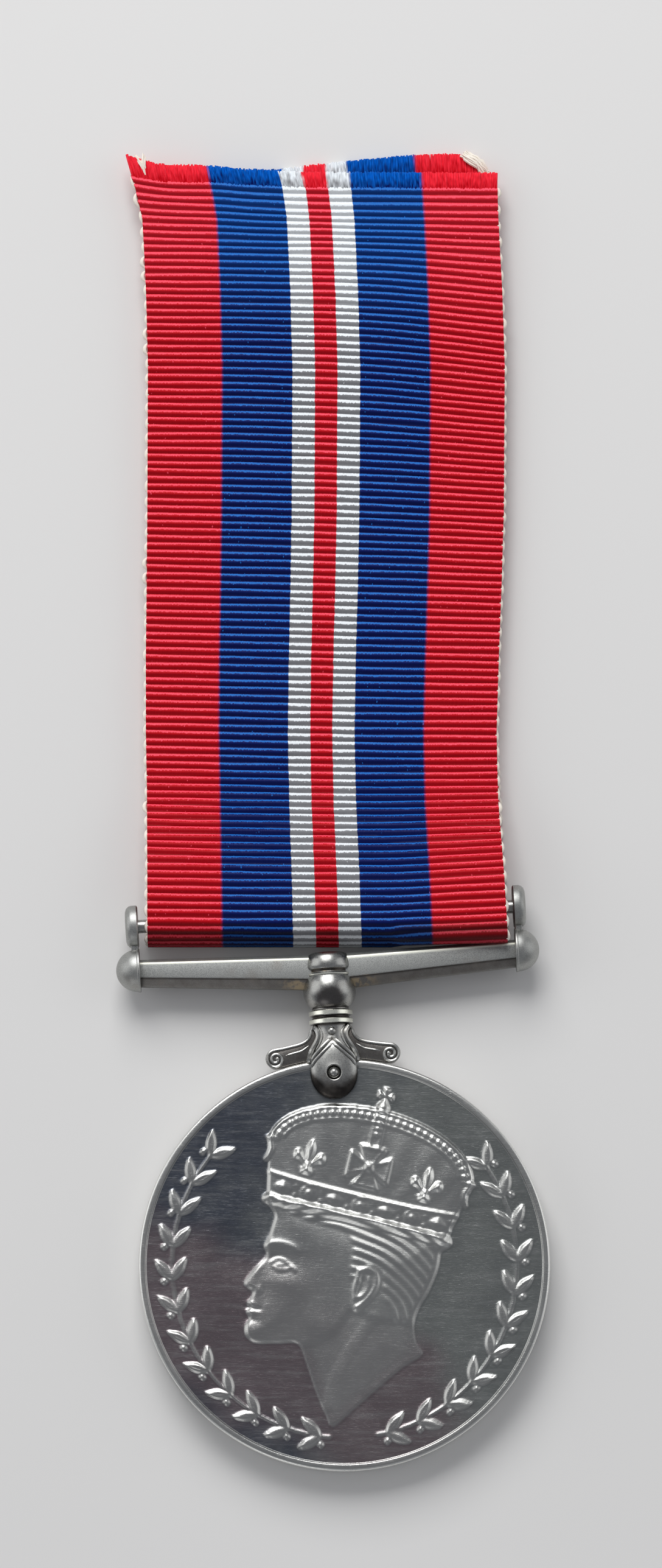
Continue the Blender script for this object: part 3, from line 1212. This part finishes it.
# the strip's surface: where a point at a share across and a distance along lies
class Strip:
    def __init__(self):
        self.shares = np.linspace(0, 1, ribbon["columns"] + 1)
        self.paths = [columnPath(s) for s in self.shares]
        self.lengths = [lengthsOf(path) for path in self.paths]
        self.long = float(np.mean([lengths[-1] for lengths in self.lengths]))
        self.turnAt = [l[np.argmin(p[:, 0])] for p, l in zip(self.paths, self.lengths)]

    def column(self, c, along, offset):
        share, path, lengths = self.shares[c], self.paths[c], self.lengths[c]
        # ribs soon leave the slant of the cut end, and the back layer takes up the difference
        level = min(self.turnAt[c], ribbon["frontLong"])
        slant = np.interp(share, cutEnds[:, 0], cutEnds[:, 1] - cutEnds[0, 1])
        leaves = np.clip(along / ribbon["slantLong"], 0, 1)
        back = (along - level) * (lengths[-1] - level + slant) / (self.long - level)
        at = np.where(along < level, along - slant * leaves, level - slant + back)

        def pathAt(place):
            return np.array([np.interp(place, lengths, line) for line in path.T])

        y, z = pathAt(at)
        step = 0.25
        dy, dz = pathAt(at + step) - pathAt(at - step)
        norm = np.hypot(dy, dz)
        front = at < self.turnAt[c]
        x = np.where(front, acrossAt(share, y, True), acrossAt(share, y, False))
        # the path runs towards -Y on the front, so its left-hand normal points up
        points = np.stack([x, y + dz / norm * offset, z - dy / norm * offset], 1)
        # the front's left corner bends up
        corner = np.clip(1 - share / ribbon["cornerWide"], 0, 1) ** 2
        corner = corner * np.exp(-at / ribbon["cornerLong"]) * front
        return points + corner[:, None] * np.array(ribbon["cornerBend"])


strip = Strip()


# the map that the silk's finish reads, from a place across and one along for every point
def setMap(mesh, across, along):
    layer = mesh.uv_layers.active or mesh.uv_layers.new(name="UVMap")
    loops = np.empty(len(mesh.loops), int)
    mesh.loops.foreach_get("vertex_index", loops)
    layer.data.foreach_set("uv", np.stack([across, along], 1)[loops].ravel())


def makeRibbon():
    grooves = ribPlaces(strip.long)
    ribs = len(grooves) - 1
    phase = np.append(np.tile(ribRows, ribs), 0)
    ribOf = np.append(np.repeat(np.arange(ribs), len(ribRows)), ribs)
    along = grooves[ribOf] + np.append(np.diff(grooves), 0)[ribOf] * phase
    rise = np.sin(math.pi * phase) ** 1.25
    rows, columns = len(along) - 1, ribbon["columns"]
    clearSelection()
    bpy.ops.mesh.primitive_grid_add(x_subdivisions=columns, y_subdivisions=rows, size=2)
    piece = named("ribbon_silk")
    flat = pointsOf(piece)
    column = np.rint((flat[:, 0] + 1) / 2 * columns).astype(int)
    row = np.rint((flat[:, 1] + 1) / 2 * rows).astype(int)
    # every rib strays a little from its place
    knots = np.linspace(0, 1, 9)
    sway = rng.normal(0, 0.022, (ribs + 1, len(knots)))
    points = np.zeros_like(flat)
    for c in range(columns + 1):
        mine = np.flatnonzero(column == c)
        r = row[mine]
        drift = np.array([np.interp(c / columns, knots, stray) for stray in sway])
        at = along[r] + drift[ribOf[r]] + dropAt(c / columns, along[r])
        points[mine] = strip.column(c, at, ribbon["outer"] + ribbon["ribHigh"] * rise[r])
    setPoints(piece, points)
    setMap(piece.data, column / columns, (ribOf + phase)[row])
    # the wall grows inwards, so the sheet must face up on the front layer
    onFront = piece.data.polygons[len(piece.data.polygons) // 6]
    if onFront.normal.z < 0:
        editAll(piece)
        bpy.ops.mesh.flip_normals()
        objectMode()
    modified(piece, "SOLIDIFY", thickness=ribbon["wall"], offset=-1)
    finished(piece, flatOnFloor, silk, 50)
    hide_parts("ribbon")
    print("ribbon:", len(piece.data.polygons), "faces,", round(strip.long, 1), "mm long,",
          len(grooves), "ribs")
    return piece


# many short threads as one mesh. Each path has a point for every radius
def strandMesh(name, paths, radii, sides, material, shares=None):
    paths = np.array(paths)
    count, steps = paths.shape[:2]
    clearSelection()
    bpy.ops.mesh.primitive_cylinder_add(vertices=sides, radius=1, depth=2, end_fill_type="NOTHING")
    piece = named(name)
    way = np.gradient(paths, axis=1)
    way /= np.linalg.norm(way, axis=2, keepdims=True)
    side = np.cross(way, np.array((0, 0, 1.0)))
    side /= np.linalg.norm(side, axis=2, keepdims=True)
    over = np.cross(side, way)
    c, s = unitRing(evenAngles(sides)).T[:, None, None, :, None]
    around = c * side[:, :, None] + s * over[:, :, None]
    ring = paths[:, :, None] + np.array(radii)[None, :, None, None] * around
    base = np.arange(count * steps * sides).reshape(count, steps, sides)
    beside = np.roll(base, -1, 2)
    quads = np.stack([base[:, :-1], beside[:, :-1], beside[:, 1:], base[:, 1:]], -1)
    faces = [tuple(q) for q in quads.reshape(-1, 4)]
    faces += [tuple(r[::-1]) for r in base[:, 0]] + [tuple(r) for r in base[:, -1]]
    mesh = bpy.data.meshes.new(name)
    mesh.from_pydata(ring.reshape(-1, 3).tolist(), [], faces)
    if shares:
        strand, step = np.divmod(base.ravel() // sides, steps)
        # the whole part tells the strands apart, the rest runs from root to tip
        setMap(mesh, np.array(shares)[strand], strand * 7 % 97 + 0.05 + 0.9 * step / (steps - 1))
    piece.data = mesh
    tidyNormals(piece)
    return finished(piece, flatOnFloor, material, 60)


def pointOn(share, along, offset):
    c = share * ribbon["columns"]
    low = int(min(math.floor(c), ribbon["columns"] - 1))
    s = c - low
    a = strip.column(low, np.array([along]), offset)[0]
    b = strip.column(low + 1, np.array([along]), offset)[0]
    return a * (1 - s) + b * s


fringe = {"strands": 330, "layers": (0.3, 0.05), "clumps": 60, "radii": (0.09, 0.1, 0.1, 0.095, 0.075)}


# threads hang from both cut ends in two layers, and lean together in clumps
def makeFringe():
    paths, shares = [], []
    strands, clumps = fringe["strands"], fringe["clumps"]
    clump = rng.normal(0, 1, (2, clumps))
    for front in (True, False):
        start, end = ribbon["fringe"] + 0.5, 0
        if not front:
            start, end = strip.long - start, strip.long
        for layer in fringe["layers"]:
            for i in range(strands):
                share = float(np.clip((i + rng.uniform(0, 1)) / strands, 0.003, 0.997))
                depth = layer + rng.uniform(-0.07, 0.07)
                root, tip = pointOn(share, start, depth - 0.05), pointOn(share, end, depth)
                way = (tip - root) * (1 + rng.uniform(-0.06, 0.04))
                lean = 0.07 * np.interp(share * (clumps - 1), np.arange(clumps), clump[int(front)])
                lean = lean + rng.normal(0, 0.025)
                drop = rng.normal(0, 0.03) - (0.2 if front else 0.02)
                bend = np.array((lean, 0, drop))
                paths.append([root + way * t + bend * t ** 2 for t in np.linspace(0, 1, 5)])
                shares.append(share)
    piece = strandMesh("ribbon_fringe", paths, fringe["radii"], 4, looseSilk, shares)
    print("fringe:", len(piece.data.polygons), "faces")
    return piece


selvedge = {"pitch": (1.37, 0.05), "bulge": (0.08, 0.16), "rareBulge": 0.3, "rightShare": 0.7,
            "radii": (0.09, 0.15, 0.19, 0.21, 0.21, 0.19, 0.15, 0.09)}


# small loops of the weft thread stand out along both edges
def makeSelvedge():
    paths = []
    for edge in (0, 1):
        at = ribbon["fringe"]
        while at < strip.long - ribbon["fringe"]:
            pitch = rng.normal(*selvedge["pitch"])
            bulge = rng.uniform(*selvedge["bulge"]) if rng.random() < 0.9 else selvedge["rareBulge"]
            bulge *= selvedge["rightShare"] if edge else 1
            drop = float(dropAt(float(edge), np.array([at]))[0])
            path = []
            for t in np.linspace(0, 1, len(selvedge["radii"])):
                inner = pointOn(float(edge), at + drop + pitch * 0.8 * t, 0.12)
                out = (bulge * math.sin(math.pi * t) ** 0.7 - 0.06) * (1 if edge else -1)
                path.append(inner + np.array((out, 0, 0)))
            paths.append(path)
            at += pitch
    loops = strandMesh("ribbon_selvedge", paths, selvedge["radii"], 6, cream)
    print("selvedge:", len(paths), "loops")
    return loops


# where the two bunches of the tuft start and end, and how they bend
tuftShape = {"threads": 14, "root": (-17.9, 98.0, 0.35), "apart": 0.5, "tips": (-18.75, -17.98),
             "tipY": 99.75, "tipZ": 0.1, "bends": (0.16, -0.05),
             "radii": (0.08, 0.09, 0.1, 0.1, 0.08, 0.05)}


# loose threads stand up at the front's left corner
def makeTuft():
    shape = tuftShape
    rootX, rootY, rootZ = shape["root"]
    paths = []
    for i in range(shape["threads"]):
        bunch = i % 2
        x = rootX + rng.normal(0, 0.07)
        root = np.array((x, rootY + shape["apart"] * bunch + rng.normal(0, 0.1), frontZ + rootZ))
        tip = np.array((shape["tips"][bunch], shape["tipY"], frontZ + shape["tipZ"]))
        tip += rng.normal(0, 0.1, 3)
        bend = np.array((shape["bends"][bunch], 0, 0.1))
        paths.append([root + (tip - root) * t + bend * math.sin(math.pi * t)
                      for t in np.linspace(0, 1, len(shape["radii"]))])
    tuft = strandMesh("ribbon_tuft", paths, shape["radii"], 5, cream)
    return tuft


bound = {"threads": 30, "radii": (0.08, 0.11, 0.13, 0.13, 0.11, 0.08),
         "way": ((10.9, 100.15, 0.75), (11.3, 99.9, 0.85), (11.75, 99.55, 0.9), (12.2, 99.15, 0.9),
                 (12.6, 98.75, 0.8), (12.8, 98.35, 0.7))}


# the back layer's cut corner is bound by its turned edge
def makeCorner():
    way = np.array(bound["way"])
    paths = []
    for i in range(bound["threads"]):
        shift = np.array([rng.normal(0, spread) for spread in (0.17, 0.17, 0.1)])
        curl = rng.normal(0, 0.09, way.shape) * (1, 1, 0.5)
        paths.append(way + shift + curl)
    corner = strandMesh("ribbon_corner", paths, bound["radii"], 5, cream)
    return corner


silkStrip = makeRibbon()
trims = [makeFringe(), makeSelvedge(), makeTuft(), makeCorner()]


# floor, light and camera

studio = {"floor": (0.8, 0.79, 0.775), "elevation": 81.5, "distance": 600,
          "look": (-1.171, 42.629, 2.0), "focal": 155.56, "sky": 0.26, "skyTone": (0.9, 0.93, 1, 1),
          # name, place, size and power of each soft light
          "lights": (("window", (-0.12, 0.52, 0.5), 0.5, 4.2), ("left", (-1.0, 0.2, 0.45), 0.9, 2.4),
                     ("right", (1.0, 0.2, 0.45), 0.9, 1.8), ("low", (-0.35, -1.0, 0.36), 0.5, 0.7))}


def makeStudio():
    clearSelection()
    bpy.ops.mesh.primitive_plane_add(size=4)
    floor = named("floor")
    plain = Finish("plain_floor", Roughness=0.9)
    plain.shader.inputs["Base Color"].default_value = (*studio["floor"], 1)
    floor.data.materials.append(plain.material)
    world = bpy.data.worlds.new("soft_studio")
    bpy.context.scene.world = world
    world.use_nodes = True
    background = world.node_tree.nodes["Background"].inputs
    background["Color"].default_value = studio["skyTone"]
    background["Strength"].default_value = studio["sky"]
    for name, at, size, power in studio["lights"]:
        bpy.ops.object.light_add(type="AREA", location=at)
        light = named(name)
        light.data.shape, light.data.size, light.data.energy = "SQUARE", size, power
        light.rotation_euler = Vector(at).to_track_quat("Z", "Y").to_euler()
    bpy.ops.object.camera_add()
    camera = named("camera")
    up = math.radians(studio["elevation"])
    target = np.array(studio["look"]) - np.array((midX, midY, 0))
    place = target + studio["distance"] * np.array((0, -math.cos(up), math.sin(up)))
    camera.location = place / 1000
    camera.rotation_euler = (math.pi / 2 - up, 0, 0)
    camera.data.lens, camera.data.sensor_width = studio["focal"], 36
    camera.data.clip_start, camera.data.clip_end = 0.01, 20
    bpy.context.scene.camera = camera


makeStudio()
bpy.context.scene.view_settings.view_transform = "Standard"
print("studio made")
